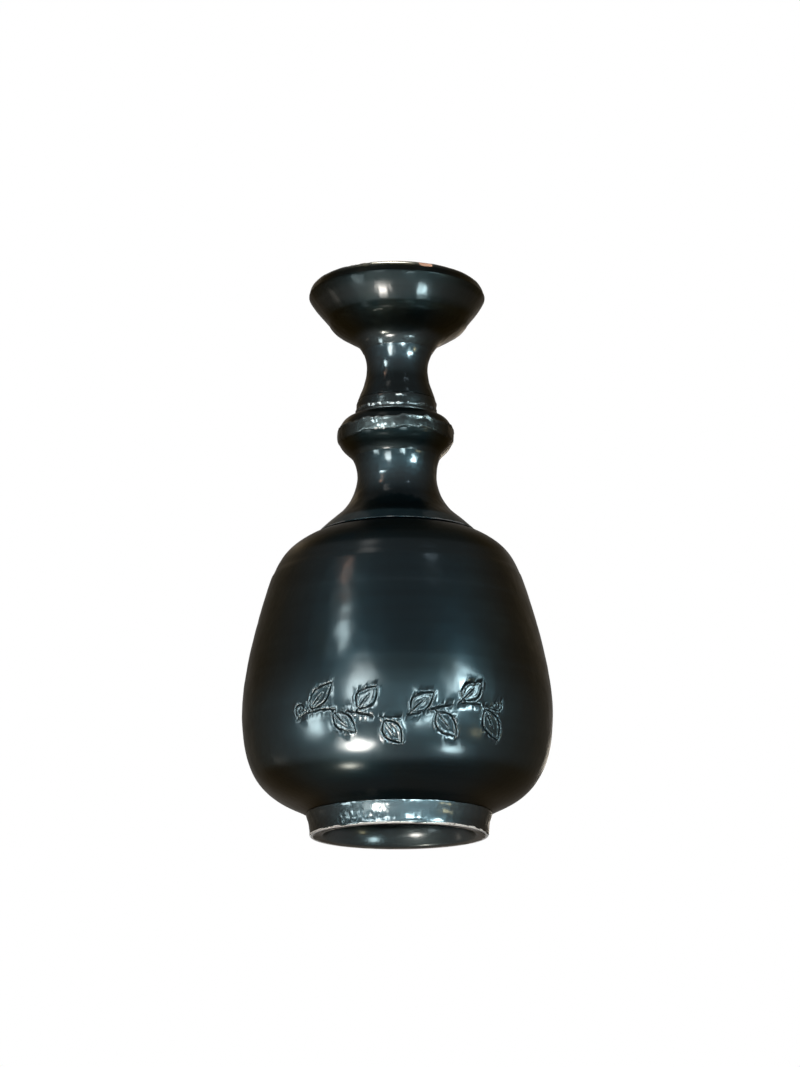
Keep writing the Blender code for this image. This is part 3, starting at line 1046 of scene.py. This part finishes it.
collarSettings = {
    "steps": 120,
    "edge": 0.3 * mm,
    "lipFrom": (15.80 * mm, 136.50 * mm),    # corner of the frame's outline, at the neck
    "lipBeside": (17.41 * mm, 137.68 * mm),
    "lipTo": (14.68 * mm, 134.10 * mm),      # smoothed down over the neck to here
    "lipHollow": 0.24 * mm,
    "slipTop": 145.6 * mm,
    "slipFoot": 141.6 * mm,
    "slipDepth": 0.30 * mm,
    "ridge": 0.60 * mm,
    "lumps": 0.9 * mm,
    "crumbs": 1.1 * mm,
    "slipSheen": 0.25,
    "patchSheen": 0.55,        # painted highlight added in the bright patch
    "patchAt": (-17.0, 15.0),  # its middle and half width, in degrees
    "ridgeSheen": 0.6,
    "proudSheen": 0.8,         # painted highlight on what stands proud of the slip
    "baseSheen": 0.13,
    "glaze": {
        "bright": (0.048, 0.058, 0.058),
        "coatBright": 1.0,
        "coatRoughness": 0.15,
        "skinScale": 560.0,
        "skin": 1.3,
    },
}


def makeCollar():
    s = collarSettings
    piece = liftOutline("collar", "collarRing")
    hollowEdge(piece, s["lipFrom"], s["lipBeside"], s["lipTo"], s["lipHollow"])
    spinRound(piece, s["steps"], s["edge"])
    settle(piece)
    around, height, radius = aroundAndUp(piece)
    turn = np.radians(around)
    outside = smoothStep(14.2 * mm, 15.2 * mm, radius)
    torn = 0.22 * mm * waver(turn, 5, (17, 29, 43)) + 0.3 * mm * waver(turn, 17, (7, 11))
    topEdge = s["slipTop"] + 0.9 * mm * np.cos(turn) - 0.6 * mm * hump(-0.5, 0.35, turn) + torn
    footEdge = s["slipFoot"] + 0.5 * mm * waver(turn, 3, (2, 3, 5)) + 0.6 * torn
    slip = smoothStep(footEdge - 0.2 * mm, footEdge + 0.3 * mm, height)
    slip *= fallOff(topEdge - 0.3 * mm, topEdge + 0.25 * mm, height) * outside
    topLip = hump(topEdge - 0.25 * mm, 0.35 * mm, height)
    footLip = 0.45 * hump(footEdge + 0.2 * mm, 0.35 * mm, height)
    lips = np.maximum(topLip, footLip) * outside
    lips *= np.clip(0.55 + 0.6 * waver(turn, 23, (3, 5, 9, 14)), 0, 1)
    ridge = hump(topEdge - 0.45 * mm, 0.42 * mm, height) * outside
    ridge *= np.clip(0.7 + 0.5 * waver(turn, 31, (2, 5, 8)), 0, 1)
    calm = 1 - 0.7 * np.abs(np.sin(turn)) ** 4    # less torn at both sides
    press(piece, "slip", slip, s["slipDepth"])
    press(piece, "ridge", ridge * calm, s["ridge"])
    roughen(piece, "lumps", slip * calm, lumpCloud, s["lumps"], 0.5)
    before = aroundAndUp(piece)[2]
    roughen(piece, "lips", lips * calm, crumbCloud, s["crumbs"], 0.35)
    proud = smoothStep(0.05 * mm, 0.35 * mm, aroundAndUp(piece)[2] - before)
    # Painted highlight and reflection: painted sheen on the slip, its bright patch, ridge and crumbs, less
    # to the right and at both sides
    paintedSheen = slip * (s["slipSheen"] + s["patchSheen"] * hump(*s["patchAt"], around))
    paintedSheen += s["ridgeSheen"] * ridge + s["proudSheen"] * proud
    paintedSheen += s["baseSheen"] * fallOff(136.5 * mm, 138.5 * mm, height)
    paintedSheen = np.clip(paintedSheen, 0, 1) * paintedFrontSheen(around) * (1 - 0.5 * smoothStep(22, 48, around))
    paintedSheen *= 1 - 0.7 * smoothStep(40, 64, np.abs(around))
    satin = between((136.4 * mm, 137.4 * mm), (140.6 * mm, 141.8 * mm), height)
    dress(piece, "collar", glazeMaterial("slipGlaze", **s["glaze"]), paintedSheen, satin)


# Joint coil pressed round the foot of the stem

coilSettings = {
    "steps": 120,
    "edge": 0.25 * mm,
    "seatGap": 0.28 * mm,      # how far both faces are drawn out to their neighbours
    "upperRidge": 152.8 * mm,
    "lowerRidge": 151.1 * mm,
    "ridgeHalf": 0.6 * mm,
    "crumbsFrom": -46,         # degrees right of the front, where the crumbs' painted highlights are strongest
    "crumbsTo": 8,
    "lastCrumb": (17, 4.0),    # middle and half width of the one beyond them
    "ridge": 0.24 * mm,
    "groove": 0.14 * mm,
    "grooveUp": 1.0 * mm,      # above the lower ridge
    "lumps": 0.22 * mm,
    "crumbs": 1.00 * mm,
    # The crumbs get a painted highlight: painted sheen, and a pale colour painted over them as if bare
    "crumbSheen": 0.9,
    "crumbGlint": 0.72,
    "glaze": {
        "bright": (0.190, 0.210, 0.215),
        # the pale colour of the crumbs' painted highlight
        "clay": (0.84, 0.90, 0.90),
        "clayDark": (0.50, 0.54, 0.54),
        "coatBright": 1.0,
        "coatRoughness": 0.18,
        "skinScale": 560.0,
        "skin": 1.2,
    },
}


def makeJointCoil():
    s = coilSettings
    low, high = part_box("joint_coil")
    piece = liftOutline("joint_coil", "jointCoil")
    nudge(piece, places(piece)[:, 2] < low.z + 0.05 * mm, 0.0, -s["seatGap"])
    nudge(piece, places(piece)[:, 2] > high.z - 0.05 * mm, 0.0, s["seatGap"])
    spinRound(piece, s["steps"], s["edge"])
    settle(piece)
    around, height, radius = aroundAndUp(piece)
    turn = np.radians(around)
    outside = smoothStep(12.6 * mm, 13.1 * mm, radius)
    seam = s["upperRidge"] + 0.3 * mm * waver(turn, 13, (2, 5, 11))
    row = smoothStep(s["crumbsFrom"] - 5, s["crumbsFrom"] + 5, around)
    row *= fallOff(s["crumbsTo"] - 3, s["crumbsTo"] + 3, around)
    row = np.clip(row + hump(*s["lastCrumb"], around), 0, 1)
    uneven = np.clip(0.45 + 0.5 * waver(turn, 15, (2, 3, 7, 12)) + 0.6 * row, 0, 1)
    upper = hump(seam, s["ridgeHalf"], height) * uneven
    lowSeam = s["lowerRidge"] + 0.15 * mm * waver(turn, 19, (1, 2, 4))
    lower = hump(lowSeam, s["ridgeHalf"], height)
    groove = hump(s["lowerRidge"] + s["grooveUp"], 0.4 * mm, height)
    press(piece, "ridges", outside * np.clip(0.6 * upper + lower, 0, 1), s["ridge"])
    press(piece, "groove", outside * groove, -s["groove"])
    roughen(piece, "lumps", outside * (1 - upper) * 0.6, lumpCloud, s["lumps"], 0.5)
    stray = hump(high.z - 0.9 * mm, 0.4 * mm, height) * np.clip(waver(turn, 25, (4, 9, 13)) - 0.2, 0, 1)
    before = aroundAndUp(piece)[2]
    roughen(piece, "crumbs", outside * np.clip(upper + stray, 0, 1), crumbCloud, s["crumbs"], 0.38)
    proud = smoothStep(0.04 * mm, 0.14 * mm, aroundAndUp(piece)[2] - before)
    proud *= smoothStep(0.25, 0.55, upper + stray)
    # Painted highlight on the crumbs that stand proud, strongest in the row
    paintedSheen = 0.04 + 0.08 * upper + 0.10 * lower + s["crumbSheen"] * proud * (0.3 + 0.7 * row)
    paintedSheen = outside * np.clip(paintedSheen, 0, 1) * paintedFrontSheen(around)
    dress(piece, "joint_coil", glazeMaterial("coilGlaze", **s["glaze"]), paintedSheen,
          bareAndGlint=outside * s["crumbGlint"] * proud * row)


# Upper stem

stemSettings = {
    "steps": 80,
    "edge": 0.2 * mm,
    "rings": 0.02 * mm,
    "ringSpacing": 4.0 * mm,
    "drift": 0.12 * mm,
    "skin": 0.14 * mm,
    "seatMoved": (-0.50 * mm, 0.40 * mm),    # the top edge under the cup, outward and up
    "shoulder": (12.40 * mm, 174.50 * mm),   # the corner below it, radius and height
    "shoulderIn": 0.25 * mm,
    "footSheen": 0.10,
    "topSheen": 0.75,          # added towards the top
    "glaze": {"coatBright": 0.75, "coatRoughness": 0.14},
}


def makeUpperStem():
    s = stemSettings
    piece = liftOutline("upper_stem", "upperStem")
    spot = places(piece)
    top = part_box("cup")[0].z - 0.3 * mm
    seat = (np.abs(spot[:, 2] - top) < 0.05 * mm) & (spot[:, 0] > 12 * mm)
    nudge(piece, seat, *s["seatMoved"])
    nudge(piece, atCorner(piece, s["shoulder"]), -s["shoulderIn"], 0.0)
    spinRound(piece, s["steps"], s["edge"])
    outside = smoothStep(10 * mm, 10.6 * mm, aroundAndUp(piece)[2])
    roughen(piece, "drift", outside, driftCloud, s["drift"], 0.5)
    roughen(piece, "skin", outside, skinCloud, s["skin"], 0.5)
    settle(piece)
    throwRings(piece, s["rings"], s["ringSpacing"])
    around, height, radius = aroundAndUp(piece)
    # Painted reflection: painted sheen towards the top of the stem, more at the front
    paintedSheen = s["footSheen"] + s["topSheen"] * smoothStep(163 * mm, 171 * mm, height)
    dress(piece, "upper_stem", glazeMaterial("stemGlaze", **s["glaze"]),
          paintedSheen * paintedFrontSheen(around))


# Cup, with its chipped lip

cupSettings = {
    "steps": 96,
    "edge": 0.2 * mm,
    "swell": 0.34 * mm,        # outward roundness of the wall over the crease
    "swellAt": 191.8 * mm,
    "swellHalf": 4.9 * mm,
    "crease": 187.4 * mm,
    "seatMoved": (-0.9 * mm, -1.1 * mm),     # the lowest edge, outward and up
    "moved": (                 # corners of the outline, and how far each goes outward and up, in mm
        ((15.06, 177.97), -0.90, 0.10),
        ((16.68, 179.40), -0.60, 0.10),
        ((18.41, 180.70), -0.20, 0.0),
        ((21.89, 183.16), 0.35, 0.0),
        ((23.27, 184.42), 0.60, 0.0),
        ((24.47, 185.84), 0.50, 0.0),
        ((25.50, 187.50), 0.10, 0.0),
        ((31.36, 195.42), 0.30, 0.25),
    ),
    "rings": 0.03 * mm,
    "ringSpacing": 4.0 * mm,
    "drift": 0.12 * mm,
    "skin": 0.13 * mm,
    "chipAt": 20.0,            # degrees right of the front
    "chipHalf": 4.4,           # degrees
    "chipDepth": 0.5 * mm,
    "flakeFrom": -37.0,
    "flakeTo": -19.0,
    "flakeDepth": 0.6 * mm,
    "bandSheen": 0.58,
    "baseSheen": 0.85,
    "chipBare": 1.3,
    "satin": (                 # the duller bands: heights where each comes in and where it goes
        ((178.8 * mm, 180.6 * mm), (188.4 * mm, 189.6 * mm)),
        ((193.0 * mm, 194.0 * mm), (198.8 * mm, 199.5 * mm)),
    ),
    "glaze": {
        "dark": (0.0016, 0.0026, 0.0027),
        "bright": (0.0098, 0.0125, 0.0130),
        "clay": (0.46, 0.27, 0.19),
        "clayDark": (0.36, 0.20, 0.14),
        "coatBright": 0.52,
        "coatRoughness": 0.13,
    },
}


def makeCup():
    s = cupSettings
    low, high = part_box("cup")
    piece = liftOutline("cup", "cupBowl")
    spot = places(piece)
    nudge(piece, (np.abs(spot[:, 2] - low.z) < 0.05 * mm) & (spot[:, 0] > 12 * mm), *s["seatMoved"])
    for (r, z), outward, upward in s["moved"]:
        nudge(piece, atCorner(piece, (r * mm, z * mm)), outward * mm, upward * mm)
    spinRound(piece, s["steps"], s["edge"])
    around, height, radius = aroundAndUp(piece)
    facing = vertexRows(piece, "normal")
    spot = places(piece)
    outward = (facing[:, 0] * spot[:, 0] + facing[:, 1] * spot[:, 1]) / np.maximum(radius, mm)
    outer = smoothStep(0.2, 0.5, outward)
    roundness = np.clip(1 - ((height - s["swellAt"]) / s["swellHalf"]) ** 2, 0, 1)
    press(piece, "swell", outer * roundness, s["swell"])
    roughen(piece, "drift", outer, driftCloud, s["drift"], 0.5)
    roughen(piece, "skin", outer, skinCloud, s["skin"], 0.5)
    crest = smoothStep(high.z - 2.6 * mm, high.z - 1.4 * mm, height) * (outward > -0.2)
    chip = crest * np.exp(-((around - s["chipAt"]) / s["chipHalf"]) ** 4)
    chip *= smoothStep(28.6 * mm, 29.6 * mm, radius)
    flakeRise = (s["flakeFrom"] - 2, s["flakeFrom"] + 2)
    flakeFall = (s["flakeTo"] - 2, s["flakeTo"] + 2)
    flake = crest * between(flakeRise, flakeFall, around)
    settle(piece)
    throwRings(piece, s["rings"], s["ringSpacing"])
    press(piece, "chip", chip, -s["chipDepth"])
    roughen(piece, "flake", flake, crumbCloud, s["flakeDepth"], 0.75)

    around, height, radius = aroundAndUp(piece)
    # Painted reflection and highlight: painted sheen on the band over the crease, the foot of the bowl and
    # along the crest
    band = s["bandSheen"] * smoothStep(s["crease"] - 0.3 * mm, s["crease"] + 0.5 * mm, height)
    band *= 1 - 0.75 * smoothStep(195.0 * mm, 196.6 * mm, height)
    base = s["baseSheen"] * fallOff(178.0 * mm, 181.0 * mm, height)
    paintedSheen = outer * (band + base + crest) * paintedFrontSheen(around)
    satin = sum(between(rise, fall, height) for rise, fall in s["satin"])
    dress(piece, "cup", glazeMaterial("cupGlaze", **s["glaze"]),
          paintedSheen, satin * outer, chip * s["chipBare"])


makeFootRing()
makeBody()
makeLowerNeck()
makeCollar()
makeJointCoil()
makeUpperStem()
makeCup()

print("all pieces made")
